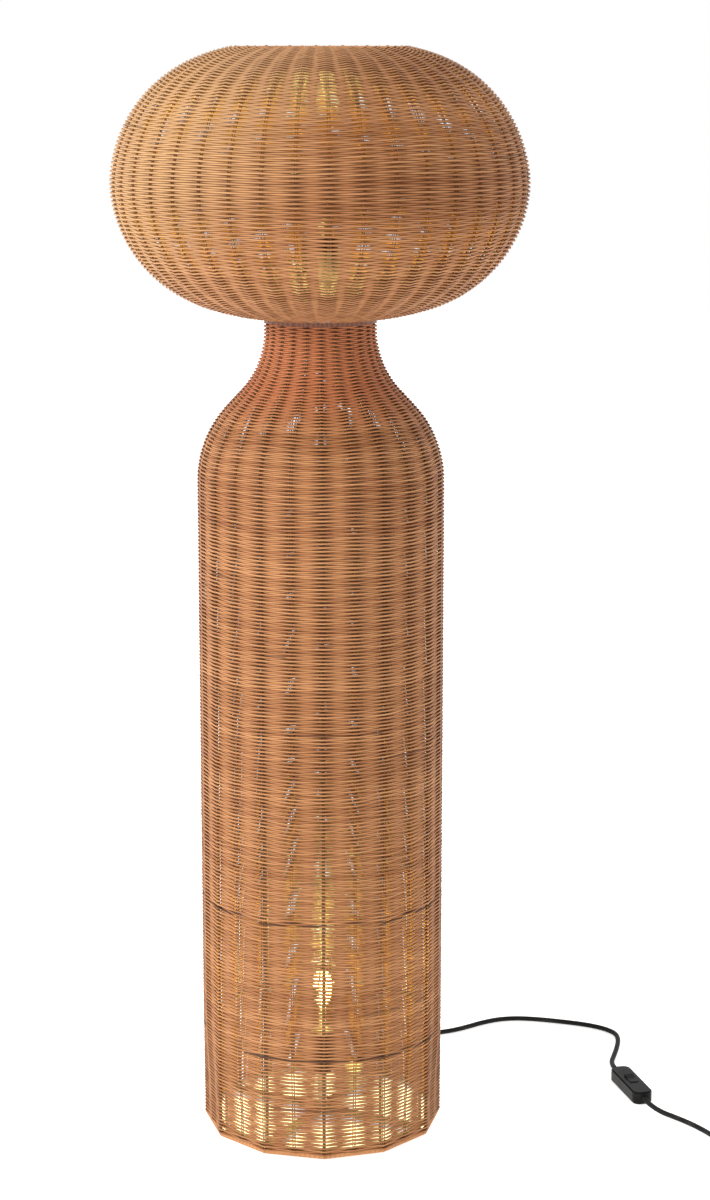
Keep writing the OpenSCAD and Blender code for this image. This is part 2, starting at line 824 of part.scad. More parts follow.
module switch_screws() {
    color("silver") on_switch() for (side = [-1, 1]) translate([side * screw_x, 0, 0]) {
        translate([0, 0, 0.5]) cylinder(h = switch_split - 0.5, r = screw_r, $fn = 32);
        translate([0, 0, switch_split])
            cylinder(h = 3, r = screw_r - 0.5, $fn = 32);
    }
}

module switch_contacts() {
    strip_h = 1;
    strip_z = switch_wall;
    color("gold") on_switch() {
        translate([-16, -5, strip_z]) cube([32, 10, strip_h]);
        translate([-9, -3, strip_z + strip_h]) cube([4, 6, 2]);
    }
}

module on_plug() {
    translate(route_to_plug[len(route_to_plug) - 1]) rotate([0, 0, plug_turn]) children();
}

module plug_body() {
    nose = 9;
    color("black") on_plug() {
        rotate([0, 90, 0]) cylinder(h = nose, r1 = cord_r + 1, r2 = cord_r + 2.4, $fn = 32);
        translate([nose, 0, 0]) rotate([90, 0, 0]) rotate([0, 90, 0])
            round_plate(plug_w, plug_t, 6, 0, plug_l - nose);
    }
}

module plug_pins() {
    color("silver") on_plug() for (side = [-1, 1])
        translate([plug_l, side * pin_gap / 2, 0]) rotate([0, 90, 0])
            cylinder(h = pin_l, r = pin_r, $fn = 32);
}

base_border();
base_band();
base_cross();
frame_uprights();
hoop_low();
hoop_middle();
hoop_high();
hoop_shoulder();
body_weave();
stakes_main();
stakes_between();
neck_collar();
neck_spider();
lower_pipe();
lower_lock_nuts();
lower_holder_cup();
lower_holder_core();
lower_holder_sleeve();
terminal_block();
supply_lead();
lower_lead();
riser_cable();
cable_ties();
upper_pipe();
upper_lock_nuts();
upper_holder_cup();
upper_holder_core();
upper_holder_sleeve();
lower_bulb_cap();
lower_bulb_glass();
lower_bulb_stem();
upper_bulb_cap();
upper_bulb_glass();
upper_bulb_stem();
shade_weave();
shade_stakes();
shade_base_ring();
shade_belly_hoop();
shade_top_border();
cord_grommet();
cord_to_switch();
switch_base();
switch_cover();
switch_rocker();
switch_screws();
switch_contacts();
cord_to_coil();
cord_coil();
cord_tie();
cord_to_plug();
plug_body();
plug_pins();
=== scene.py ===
"""A woven floor lamp with a globe shade, lit from inside: the visual model, in metres."""

import json
import logging
import math
from dataclasses import dataclass, field
from enum import Enum
from typing import Any, Iterable, Optional, Sequence, Union

import bpy
import numpy as np
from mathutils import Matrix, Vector

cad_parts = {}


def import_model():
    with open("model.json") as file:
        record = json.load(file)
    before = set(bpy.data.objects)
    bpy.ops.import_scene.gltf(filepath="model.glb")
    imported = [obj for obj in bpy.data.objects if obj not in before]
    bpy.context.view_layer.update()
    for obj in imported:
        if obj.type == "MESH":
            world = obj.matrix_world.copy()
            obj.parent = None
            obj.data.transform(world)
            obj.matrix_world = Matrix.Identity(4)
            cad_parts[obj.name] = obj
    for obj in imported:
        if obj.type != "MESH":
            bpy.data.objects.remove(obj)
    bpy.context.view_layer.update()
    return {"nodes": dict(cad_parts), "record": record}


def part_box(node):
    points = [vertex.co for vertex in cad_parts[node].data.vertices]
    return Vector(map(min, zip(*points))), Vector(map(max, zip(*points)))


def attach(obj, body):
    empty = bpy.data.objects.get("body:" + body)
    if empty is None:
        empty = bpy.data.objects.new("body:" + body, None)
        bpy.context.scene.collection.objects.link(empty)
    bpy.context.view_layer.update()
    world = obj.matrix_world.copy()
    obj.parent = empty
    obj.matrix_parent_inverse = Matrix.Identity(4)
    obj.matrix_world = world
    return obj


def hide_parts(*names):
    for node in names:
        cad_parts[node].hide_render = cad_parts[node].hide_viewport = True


LOG = logging.getLogger("lamp")
UV_NAME = "OFBake"
STRAND = "strand"

RGB = tuple[float, float, float]
Array = np.ndarray


class Body(str, Enum):
    """The moving bodies that a piece can ride on."""

    STAND = "stand"
    SHADE = "shade"
    UPPER_BULB = "upper_bulb"
    LOWER_BULB = "lower_bulb"


# ---------------------------------------------------------------- shaders


class Signal:
    """One output of a shader node, on which Python's own operators add Math nodes."""

    def __init__(self, shader: "Shader", socket: bpy.types.NodeSocket) -> None:
        """Wrap one output socket."""
        self.shader = shader
        self.socket = socket

    def maths(self, operation: str, *others: "Value") -> "Signal":
        """Add a Math node.

        Args:
            operation: the Math node's operation.
            others: its further inputs.

        Returns:
            The node's output.
        """
        values = dict(enumerate((self, *others)))
        return self.shader.signal("ShaderNodeMath", {"operation": operation}, values)

    def swapped(self, operation: str, other: "Value") -> "Signal":
        """Add a Math node with this signal as its second input."""
        return self.shader.signal(
            "ShaderNodeMath", {"operation": operation}, {0: other, 1: self}
        )

    def __add__(self, other: "Value") -> "Signal":
        """Sum."""
        return self.maths("ADD", other)

    __radd__ = __add__

    def __mul__(self, other: "Value") -> "Signal":
        """Product."""
        return self.maths("MULTIPLY", other)

    __rmul__ = __mul__

    def __sub__(self, other: "Value") -> "Signal":
        """Difference."""
        return self.maths("SUBTRACT", other)

    def __rsub__(self, other: "Value") -> "Signal":
        """Difference from a number."""
        return self.swapped("SUBTRACT", other)

    def clamped(self) -> "Signal":
        """The signal held between 0 and 1."""
        return self.shader.signal("ShaderNodeClamp", {}, {0: self, 1: 0.0, 2: 1.0})


Value = Union[Signal, float, RGB, Sequence[float]]


class Shader:
    """A material's node tree while it is being made."""

    def __init__(self, name: str) -> None:
        """Start an empty material."""
        self.material = bpy.data.materials.new(name)
        self.material.use_nodes = True
        self.tree = self.material.node_tree
        self.tree.nodes.clear()

    def node(
        self, kind: str, settings: dict[str, Any], values: dict[Union[int, str], Value]
    ) -> bpy.types.Node:
        """Add any node.

        Args:
            kind: the node's type.
            settings: its properties, and the stops of a ramp.
            values: values or links of its input sockets, by name or number.

        Returns:
            The new node.
        """
        made = self.tree.nodes.new(kind)
        for key, value in settings.items():
            if key == "stops":
                self._set_stops(made.color_ramp, value)
            else:
                setattr(made, key, value)
        for key, value in values.items():
            socket = made.inputs[key]
            if isinstance(value, Signal):
                self.tree.links.new(value.socket, socket)
            elif isinstance(value, (int, float)):
                socket.default_value = value
            elif len(value) == 3 and len(socket.default_value) == 4:
                socket.default_value = (*value, 1.0)
            else:
                socket.default_value = tuple(value)
        return made

    @staticmethod
    def _set_stops(ramp: Any, stops: Sequence[tuple[float, RGB]]) -> None:
        """Give a colour ramp its stops."""
        while len(ramp.elements) < len(stops):
            ramp.elements.new(1.0)
        for element, (place, colour) in zip(ramp.elements, stops):
            element.position = place
            element.color = (*colour, 1.0)

    def signal(
        self,
        kind: str,
        settings: dict[str, Any],
        values: dict[Union[int, str], Value],
        output: Union[int, str] = 0,
    ) -> Signal:
        """Add any node and take one of its outputs."""
        return Signal(self, self.node(kind, settings, values).outputs[output])

    def place(self, stretch: RGB = (1.0, 1.0, 1.0)) -> Signal:
        """The point on the object, stretched along each axis."""
        point = self.signal("ShaderNodeTexCoord", {}, {}, "Object")
        return self.signal(
            "ShaderNodeVectorMath", {"operation": "MULTIPLY"}, {0: point, 1: stretch}
        )

    def along(self, stretch: RGB) -> Signal:
        """The point on a strand's own unrolled skin, stretched."""
        point = self.signal("ShaderNodeUVMap", {"uv_map": UV_NAME}, {})
        return self.signal(
            "ShaderNodeVectorMath", {"operation": "MULTIPLY"}, {0: point, 1: stretch}
        )

    def noise(self, where: Signal, scale: float, detail: float = 3.0) -> Signal:
        """Smooth noise from 0 to 1.

        Args:
            where: the vector that it is read at.
            scale: how fine it is.
            detail: how many octaves it has.

        Returns:
            The noise's value.
        """
        return self.signal(
            "ShaderNodeTexNoise", {}, {"Vector": where, "Scale": scale, "Detail": detail}
        )

    def spread(self, value: Signal, low: float, high: float) -> Signal:
        """Stretch the part of a signal between low and high over 0 to 1."""
        return self.signal(
            "ShaderNodeMapRange", {"clamp": True}, {0: value, 1: low, 2: high}
        )

    def mix(self, amount: Value, first: Value, second: Value) -> Signal:
        """Go from the first colour to the second by amount."""
        return self.signal(
            "ShaderNodeMix", {"data_type": "RGBA"}, {0: amount, 6: first, 7: second}, 2
        )

    def times(self, colour: Value, other: Value) -> Signal:
        """Multiply two colours."""
        return self.signal(
            "ShaderNodeMix",
            {"data_type": "RGBA", "blend_type": "MULTIPLY"},
            {0: 1.0, 6: colour, 7: other},
            2,
        )

    def split(self, colour: Signal) -> tuple[Signal, Signal, Signal]:
        """A colour's three channels."""
        made = self.node("ShaderNodeSeparateColor", {}, {0: colour})
        return tuple(Signal(self, made.outputs[k]) for k in range(3))

    def bump(self, height: Signal, strength: float, distance: float) -> Signal:
        """Surface relief from a height."""
        return self.signal(
            "ShaderNodeBump", {}, {"Strength": strength, "Distance": distance, "Height": height}
        )

    def done(self, values: dict[str, Value]) -> bpy.types.Material:
        """Close the tree with a Principled surface.

        Args:
            values: values or links of the surface's sockets.

        Returns:
            The material.
        """
        surface = self.node("ShaderNodeBsdfPrincipled", {}, values)
        out = self.tree.nodes.new("ShaderNodeOutputMaterial")
        self.tree.links.new(surface.outputs[0], out.inputs[0])
        return self.material


# ---------------------------------------------------------------- finishes


@dataclass(frozen=True)
class CaneFinish:
    """Round cane or paper cord, dyed in uneven lots, with fibres along each strand, painted shade in the
    crevices between strands and in some gap rows, and on the shade painted light on its side toward the key
    light.
    """

    name: str
    light: RGB
    deep: RGB
    stain_and_gap_shade_colour: RGB
    # The neck's dyed colour on the stand; on the shade, the painted light on its side toward the key light.
    neck_dye_and_lit_colour: RGB = (0.66, 0.22, 0.085)
    fibres: RGB = (220.0, 900.0, 1.0)
    roughness: float = 0.58
    # Colour and strength of the painted shade laid into the strands' crevices.
    shadow: RGB = (0.12, 0.055, 0.024)
    crevice_shade_weight: float = 1.0

    def material(self) -> bpy.types.Material:
        """Make the material. Red of the strand attribute is its lot; green marks darker cane and the painted
        shade of gap rows; blue marks the neck's dyed colour and, on the shade, painted light on the side
        toward the key light; alpha is the painted shade in the crevices.
        """
        s = Shader(self.name)
        read = s.node("ShaderNodeAttribute", {"attribute_name": STRAND}, {})
        lot, stain_and_gap_shade, dye_and_lit_side = s.split(Signal(s, read.outputs["Color"]))
        crevice = Signal(s, read.outputs["Alpha"])
        fibre = s.noise(s.along(self.fibres), 1.0, 2.0)
        patch = s.noise(s.place((1.0, 1.0, 1.6)), 9.0, 2.0)
        tone = lot * 0.55 + fibre * 0.35 + patch * 0.5 - 0.2
        colour = s.mix(tone.clamped(), self.deep, self.light)
        # The neck's dyed colour, and on the shade painted light on the side toward the key light.
        colour = s.mix(dye_and_lit_side, colour, self.neck_dye_and_lit_colour)
        # Darker cane runs, and the painted shade of the gap rows.
        colour = s.mix(stain_and_gap_shade, colour, self.stain_and_gap_shade_colour)
        # Painted shade: the sides of each strand that meet its neighbours are darkened.
        colour = s.mix((crevice * self.crevice_shade_weight).clamped(), colour, s.times(colour, self.shadow))
        return s.done(
            {
                "Base Color": colour,
                "Roughness": self.roughness + (fibre - 0.5) * 0.3,
                "Normal": s.bump(fibre, 0.35, 0.0003),
                "Specular IOR Level": 0.3,
            }
        )


@dataclass(frozen=True)
class MouldedFinish:
    """Moulded plastic or rubber with a fine eroded skin and faint handling marks."""

    name: str
    colour: RGB
    worn: RGB
    roughness: float
    grain: float = 2600.0
    relief: float = 0.00004
    coat: float = 0.0

    def material(self) -> bpy.types.Material:
        """Make the material."""
        s = Shader(self.name)
        grain = s.noise(s.place(), self.grain, 2.0)
        marks = s.spread(s.noise(s.place((1.0, 1.0, 2.5)), 55.0, 4.0), 0.45, 0.75)
        return s.done(
            {
                "Base Color": s.mix(marks, self.colour, self.worn),
                "Roughness": self.roughness + marks * 0.12 + grain * 0.06,
                "Normal": s.bump(grain, 0.4, self.relief),
                "Coat Weight": self.coat,
                "Specular IOR Level": 0.12,
            }
        )


@dataclass(frozen=True)
class MetalFinish:
    """Drawn or plated metal with fine lines and a little tarnish."""

    name: str
    colour: RGB
    tarnish: RGB
    roughness: float
    lines: RGB = (300.0, 300.0, 6000.0)

    def material(self) -> bpy.types.Material:
        """Make the material."""
        s = Shader(self.name)
        lines = s.noise(s.place(self.lines), 1.0, 2.0)
        dull = s.spread(s.noise(s.place(), 70.0, 4.0), 0.4, 0.7)
        return s.done(
            {
                "Base Color": s.mix(dull, self.colour, self.tarnish),
                "Metallic": 1.0 - dull * 0.15,
                "Roughness": self.roughness + lines * 0.12 + dull * 0.18,
                "Normal": s.bump(lines, 0.25, 0.00005),
            }
        )


@dataclass(frozen=True)
class WoodFinish:
    """Turned wood with growth rings and pores."""

    name: str
    pale: RGB
    dark: RGB

    def material(self) -> bpy.types.Material:
        """Make the material."""
        s = Shader(self.name)
        warp = s.noise(s.place((1.0, 1.0, 0.3)), 14.0, 3.0)
        rings = s.signal(
            "ShaderNodeTexWave",
            {"bands_direction": "X"},
            {"Vector": s.place(), "Scale": 60.0, "Distortion": 6.0, "Detail": 2.0},
            1,
        )
        pores = s.noise(s.place((150.0, 2400.0, 2400.0)), 1.0, 2.0)
        grain = (rings * 0.5 + warp * 0.3 + pores * 0.3).clamped()
        return s.done(
            {
                "Base Color": s.mix(grain, self.pale, self.dark),
                "Roughness": 0.42 + pores * 0.2,
                "Normal": s.bump(pores, 0.3, 0.0001),
            }
        )


@dataclass(frozen=True)
class ClearGlassFinish:
    """Thin clear bulb glass, with a faint haze."""

    name: str
    tint: RGB = (0.0035, 0.0025, 0.0015)
    body: float = 0.16

    def material(self) -> bpy.types.Material:
        """Make the material."""
        s = Shader(self.name)
        haze = s.noise(s.place(), 45.0, 3.0)
        return s.done(
            {
                "Base Color": self.tint,
                "Roughness": 0.03 + haze * 0.08,
                "Alpha": self.body + haze * 0.05,
                "Specular IOR Level": 0.6,
            }
        )


@dataclass(frozen=True)
class FilamentFinish:
    """Glowing filament, a little hotter in places."""

    name: str
    glow: RGB
    hot: RGB
    strength: float

    def material(self) -> bpy.types.Material:
        """Make the material."""
        s = Shader(self.name)
        heat = s.noise(s.place((1.0, 1.0, 0.4)), 400.0, 2.0)
        return s.done(
            {
                "Base Color": (0.9, 0.6, 0.2),
                "Roughness": 0.5,
                "Emission Color": s.mix(s.spread(heat, 0.35, 0.65), self.glow, self.hot),
                "Emission Strength": self.strength,
            }
        )


@dataclass(frozen=True)
class FloorFinish:
    """A plain pale studio floor."""

    name: str = "studio_floor"
    colour: RGB = (0.9, 0.9, 0.9)
    lift: float = 0.6

    def material(self) -> bpy.types.Material:
        """Make the material."""
        s = Shader(self.name)
        return s.done(
            {
                "Base Color": self.colour,
                "Roughness": 0.9,
                "Specular IOR Level": 0.1,
                "Emission Color": (1.0, 1.0, 1.0),
                "Emission Strength": self.lift,
            }
        )


# ---------------------------------------------------------------- meshes


@dataclass
class Surface:
    """Points and faces of a piece while it is being made, with its unrolled places."""

    points: list[Array] = field(default_factory=list)
    faces: list[Array] = field(default_factory=list)
    flats: list[Array] = field(default_factory=list)
    colours: list[Array] = field(default_factory=list)
    count: int = 0

    def grid(
        self, net: Array, flat: Array, wrap: bool,
        colour: Optional[Array] = None, crevice: Optional[Array] = None,
    ) -> None:
        """Add a net of quads whose sides close on themselves.

        Args:
            net: points, rings by sides by 3.
            flat: corner of the net in the unrolled square, its width and its height.
            wrap: whether the last ring joins the first.
            colour: strand attribute of each ring, rings by 3.
            crevice: how much painted shade each side gets where it lies between its neighbours, from 0 to 1.
        """
        rings, sides = net.shape[:2]
        spans = rings if wrap else rings - 1
        i, k = np.meshgrid(np.arange(spans), np.arange(sides), indexing="ij")
        j, m = (i + 1) % rings, (k + 1) % sides
        quads = np.stack([i * sides + k, j * sides + k, j * sides + m, i * sides + m], -1)
        self.points.append(net.reshape(-1, 3))
        self.faces.append(quads.reshape(-1, 4) + self.count)
        u0, v0, width, height = flat
        corners = [(i, k), (i + 1, k), (i + 1, k + 1), (i, k + 1)]
        places = [np.stack([u0 + width * a / spans, v0 + height * b / sides], -1) for a, b in corners]
        self.flats.append(np.stack(places, 2).reshape(-1, 2))
        tint = np.full((rings, 3), (0.5, 0.0, 0.0)) if colour is None else colour
        full = np.zeros((rings, sides, 4))
        full[..., :3] = tint[:, None]
        full[..., 3] = 0.0 if crevice is None else crevice
        self.colours.append(full.reshape(-1, 4))
        self.count += rings * sides

    def make(self, name: str, material: bpy.types.Material) -> bpy.types.Object:
        """Make the object.

        Args:
            name: the piece's name.
            material: its finish.

        Returns:
            The new object, at the origin.
        """
        points = np.concatenate(self.points).astype(np.float32)
        faces = np.concatenate(self.faces).astype(np.int32)
        flats = np.concatenate(self.flats).astype(np.float32)
        tints = np.concatenate(self.colours).astype(np.float32)
        mesh = bpy.data.meshes.new(name)
        mesh.vertices.add(len(points))
        mesh.vertices.foreach_set("co", points.ravel())
        mesh.loops.add(faces.size)
        mesh.loops.foreach_set("vertex_index", faces.ravel())
        mesh.polygons.add(len(faces))
        mesh.polygons.foreach_set("loop_start", np.arange(len(faces), dtype=np.int32) * 4)
        mesh.polygons.foreach_set("use_smooth", np.ones(len(faces), dtype=bool))
        mesh.uv_layers.new(name=UV_NAME).data.foreach_set("uv", flats.ravel())
        tint = mesh.attributes.new(STRAND, "FLOAT_COLOR", "POINT")
        tint.data.foreach_set("color", tints.ravel())
        mesh.update(calc_edges=True)
        mesh.materials.append(material)
        made = bpy.data.objects.new(name, mesh)
        bpy.context.scene.collection.objects.link(made)
        return made


def sweep(line: Array, radius: Union[float, Array], sides: int, closed: bool) -> Array:
    """Carry a round section along a line without twist.

    Args:
        line: points of the centreline.
        radius: one radius, or rings by sides.
        sides: how many points the section has.
        closed: whether the line is a loop.

    Returns:
        The skin's points, rings by sides by 3.
    """
    if closed:
        ahead = np.roll(line, -1, 0) - np.roll(line, 1, 0)
    else:
        ahead = np.gradient(line, axis=0)
    ahead /= np.linalg.norm(ahead, axis=1, keepdims=True)
    start = np.array([0.0, 0.0, 1.0]) if abs(ahead[0, 2]) < 0.9 else np.array([1.0, 0.0, 0.0])
    across = np.zeros_like(line)
    for k, way in enumerate(ahead):
        start = start - way * float(start @ way)
        start /= np.linalg.norm(start)
        across[k] = start
    beside = np.cross(ahead, across)
    turn = np.arange(sides) * 2 * math.pi / sides
    size = np.broadcast_to(np.asarray(radius, float), (len(line), sides))[..., None]
    ring = across[:, None] * np.cos(turn)[:, None] + beside[:, None] * np.sin(turn)[:, None]
    return line[:, None] + ring * size


def smooth_line(points: Array, step: float) -> Array:
    """Run a smooth curve through points and divide it evenly.

    Args:
        points: the points that it goes through.
        step: the spacing of the result.

    Returns:
        Points along the curve.
    """
    first, last = 2 * points[0] - points[1], 2 * points[-1] - points[-2]
    p = np.concatenate([[first], points, [last]])
    t = np.linspace(0, 1, 12, endpoint=False)[:, None]
    parts = []
    for a, b, c, d in zip(p, p[1:], p[2:], p[3:]):
        parts.append(
            b + (c - a) * t / 2 + (a - 2.5 * b + 2 * c - d / 2) * t**2
            + (-a / 2 + 1.5 * b - 1.5 * c + d / 2) * t**3
        )
    curve = np.concatenate([*parts, points[-1:]])
    return even_line(curve, step)


def even_line(curve: Array, step: float) -> Array:
    """Divide a line into equal steps."""
    gone = np.concatenate([[0], np.cumsum(np.linalg.norm(np.diff(curve, axis=0), axis=1))])
    count = max(2, int(round(gone[-1] / step)) + 1)
    places = np.linspace(0, gone[-1], count)
    return np.stack([np.interp(places, gone, curve[:, k]) for k in range(curve.shape[1])], 1)


def smoothstep(x: Array) -> Array:
    """Ease from 0 to 1."""
    x = np.clip(x, 0, 1)
    return x * x * (3 - 2 * x)


# ---------------------------------------------------------------- camera and light


@dataclass
class Studio:
    """The camera, the soft key from the upper left and the white room."""

    eye: RGB = (0.0372, -2.884, 1.215)
    down: float = 12.0
    lens: float = 80.2
    sensor: float = 36.0
    room: float = 1.0
    key_power: float = 143.0
    key_at: RGB = (-3.4, -2.1, 2.5)
    key_size: float = 1.2
    look_at: RGB = (0.0, 0.0, 0.65)

    def camera(self) -> bpy.types.Object:
        """Make the camera."""
        data = bpy.data.cameras.new("camera")
        data.lens, data.sensor_width, data.sensor_fit = self.lens, self.sensor, "AUTO"
        data.clip_start, data.clip_end = 0.05, 60.0
        made = bpy.data.objects.new("camera", data)
        made.location = self.eye
        made.rotation_euler = (math.radians(90 - self.down), 0, 0)
        bpy.context.scene.collection.objects.link(made)
        bpy.context.scene.camera = made
        return made

    def lights(self) -> None:
        """Make the key light, the room's light and the tone of the picture."""
        data = bpy.data.lights.new("key", "AREA")
        data.energy, data.size, data.color = self.key_power, self.key_size, (1.0, 0.97, 0.93)
        key = bpy.data.objects.new("key", data)
        key.location = self.key_at
        way = Vector(self.look_at) - Vector(self.key_at)
        key.rotation_euler = way.to_track_quat("-Z", "Y").to_euler()
        bpy.context.scene.collection.objects.link(key)
        world = bpy.data.worlds.new("room")
        bpy.context.scene.world = world
        world.use_nodes = True
        back = world.node_tree.nodes["Background"]
        back.inputs[0].default_value = (self.room,) * 3 + (1.0,)
        back.inputs[1].default_value = 1.0
        bpy.context.scene.view_settings.view_transform = "Standard"

    def floor(self) -> bpy.types.Object:
        """Make the floor."""
        half = 9.0
        below = -0.0005
        mesh = bpy.data.meshes.new("floor")
        corners = [(x, y, below) for x, y in ((-half, -half), (half, -half), (half, half), (-half, half))]
        mesh.from_pydata(corners, [], [(0, 1, 2, 3)])
        mesh.materials.append(FloorFinish().material())
        made = bpy.data.objects.new("floor", mesh)
        bpy.context.scene.collection.objects.link(made)
        return made


# ---------------------------------------------------------------- the lead


@dataclass
class Lead:
    """The mains lead: out of the stand to the switch, and on through a coil to the plug."""

    diameter: float = 0.0058
    sides: int = 14
    step: float = 0.003
    to_switch: tuple[RGB, ...] = (
        (62, 161, 15), (68, 178, 13.5), (77, 196, 10), (90, 213, 6), (107, 228, 3.6),
        (126, 238, 3), (144, 244, 3), (160, 251, 3), (177, 262, 3), (196, 276, 3),
        (217, 287, 3), (240, 291, 3), (265, 288, 3), (288, 282, 3), (310, 275, 3),
        (331, 266, 3), (348, 254, 3), (358.5, 239, 3), (360.5, 220, 3), (357, 195, 3),
        (351, 168, 3), (346.5, 148, 3.4), (345.8, 130, 5.2), (347.2, 116, 7),
        (350.1, 103.6, 7.5),
    )
    to_coil: tuple[RGB, ...] = (
        (371.9, 22.4, 7.5), (375.5, 11, 6.8), (382, 0, 5), (391, -10, 3.4), (401, -20, 3),
        (411, -31.5, 3), (421, -44.5, 3), (431, -60, 3), (440.5, -77, 3), (448, -91.5, 3.7),
    )
    to_plug: tuple[RGB, ...] = (
        (524, -76, 10.2), (521, -62, 8.4), (517, -48, 7.1), (513, -35, 7), (510, -24, 7),
    )
    coil_at: tuple[float, float] = (490, -94)
    rings: tuple[float, ...] = (38, 32, 26, 29, 35)
    low_z: float = 4.1
    high_z: float = 9.4
    coil_from: float = 200.0
    coil_to: float = 200.0 + 4 * 360 + 168
    shift: float = 80.0
    first_length: float = 0.505
    second_length: float = 1.11

    def coil(self) -> Array:
        """The coil's turns: three on the floor, then one and a half on top of them."""
        turned = np.arange(self.coil_from, self.coil_to + 1, 12.0) - self.coil_from
        lap = np.minimum((turned // 360).astype(int), len(self.rings) - 1)
        part = turned - lap * 360
        rings = np.array([*self.rings, self.rings[-1]], float)
        climb = (lap == 2) & (part > 210)
        ease = smoothstep((part - (360 - self.shift)) / self.shift)
        ease = np.where(climb, smoothstep((part - 210) / 150), ease)
        ease = np.where((lap == 2) & ~climb, 0, ease)
        radius = rings[lap] + (rings[lap + 1] - rings[lap]) * ease
        rise = smoothstep(np.minimum(1, (part - 210) / 150 * 1.6))
        lift = np.where(lap > 2, 1.0, np.where(climb, rise, 0.0))
        hump = np.where(climb, np.exp(-(((part - 310) / 22) ** 2)) * 0.6, 0)
        angle = np.radians(turned + self.coil_from)
        x = self.coil_at[0] + radius * np.cos(angle)
        y = self.coil_at[1] + radius * np.sin(angle)
        return np.stack([x, y, self.low_z + (self.high_z - self.low_z) * lift + hump], 1)

    def piece(self, name: str, points: Array, material: bpy.types.Material) -> tuple[bpy.types.Object, Array]:
        """Make one stretch of lead.

        Args:
            name: the piece's name.
            points: its route, in millimetres.
            material: its finish.

        Returns:
            The object and its centreline.
        """
        line = smooth_line(np.asarray(points, float) / 1000, self.step)
        length = float(np.linalg.norm(np.diff(line, axis=0), axis=1).sum())
        LOG.info("%s is %.3f m long", name, length)
        surface = Surface()
        skin = sweep(line, self.diameter / 2, self.sides, False)
        surface.grid(skin, np.array([0.0, 0.02, 1.0, 0.98]), False)
        return surface.make(name, material), line

    def build(self, material: bpy.types.Material) -> None:
        """Make both stretches, put them on the stand and hide the CAD cords that they replace."""
        first, line = self.piece("lead_to_switch", np.array(self.to_switch), material)
        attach(first, Body.STAND.value)
        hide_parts("cord_to_switch")
        route = np.concatenate([self.to_coil, self.coil(), self.to_plug])
        second, line = self.piece("lead_to_plug", route, material)
        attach(second, Body.STAND.value)
        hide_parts("cord_to_coil", "cord_coil", "cord_to_plug")


# ---------------------------------------------------------------- the woven walls


@dataclass
class StandOutline:
    """The stand's section: a straight wall, a round shoulder and a hollow run up to the neck."""

    body_r: float = 0.1345
    shoulder_z: float = 0.736
    shoulder_r: float = 0.121
    slope: float = 43.5
    neck_r: float = 0.0605
    neck_round: float = 0.098
    top_z: float = 0.90935
    foot_z: float = 0.0052
    corners: int = 12
    facet_z: float = 0.11
    turn: float = 1.4

    def line(self, inset: float) -> Array:
        """Radius and height from the foot to the neck, at a distance inside the outer skin."""
        s = math.radians(self.slope)
        low_r = self.body_r - self.shoulder_r * (1 - math.cos(s))
        low_z = self.shoulder_z + self.shoulder_r * math.sin(s)
        top_r = self.neck_r + self.neck_round * (1 - math.cos(s))
        neck_z = low_z + (low_r - top_r) / math.tan(s) + self.neck_round * math.sin(s)
        up = np.linspace(0, s, 40)
        down = np.linspace(s, 0, 40)
        small, wide = self.shoulder_r - inset, self.neck_round + inset
        r = [[self.body_r - inset] * 2, self.body_r - self.shoulder_r + small * np.cos(up),
             self.neck_r + self.neck_round - wide * np.cos(down), [self.neck_r - inset]]
        z = [[self.foot_z, self.shoulder_z - 0.0005], self.shoulder_z + small * np.sin(up),
             neck_z - wide * np.sin(down), [self.top_z - 0.0008]]
        return np.stack([np.concatenate(r), np.concatenate(z)], 1)

    def squeeze(self, turn: Array, z: Array) -> Array:
        """How far the wall is pulled in between its main stakes near the foot.

        Args:
            turn: angles in degrees.
            z: heights.

        Returns:
            Factor on the radius.
        """
        half = 180 / self.corners
        off = np.radians((turn - self.turn) % (2 * half) - half)
        flat = math.cos(math.radians(half)) / np.cos(off)
        keep = 1 - smoothstep((z - 0.02) / self.facet_z)
        return 1 - keep * (1 - flat)


@dataclass
class GlobeOutline:
    """The shade's section: a flattened globe, open at the top."""

    seat_z: float = 0.91435
    shade_r: float = 0.2235
    half_h: float = 0.1495
    low_h: float = 0.1435
    p: float = 3.0
    q: float = 1.86
    seat_r: float = 0.062
    mouth_r: float = 0.094
    seat_gap: float = 0.0003

    def middle(self) -> float:
        """Height of the widest place."""
        reach = (1 - (self.seat_r / self.shade_r) ** self.p) ** (1 / self.q)
        return self.seat_z + self.seat_gap + self.low_h * reach

    def line(self, inset: float) -> Array:
        """Radius and height from the seat to the mouth, at a distance inside the outer skin."""
        low = -math.acos((self.seat_r / self.shade_r) ** (self.p / 2))
        high = math.acos((self.mouth_r / self.shade_r) ** (self.p / 2))
        a = np.linspace(low, high, 400)
        r = (self.shade_r - inset) * np.cos(a) ** (2 / self.p)
        half_h = np.where(a < 0, self.low_h, self.half_h)
        z = self.middle() + (half_h - inset) * np.sign(a) * np.abs(np.sin(a)) ** (2 / self.q)
        return np.stack([r, z], 1)

    def squeeze(self, turn: Array, z: Array) -> Array:
        """The globe is round all the way up."""
        return np.ones(np.broadcast(turn, z).shape)


Outline = Union[StandOutline, GlobeOutline]


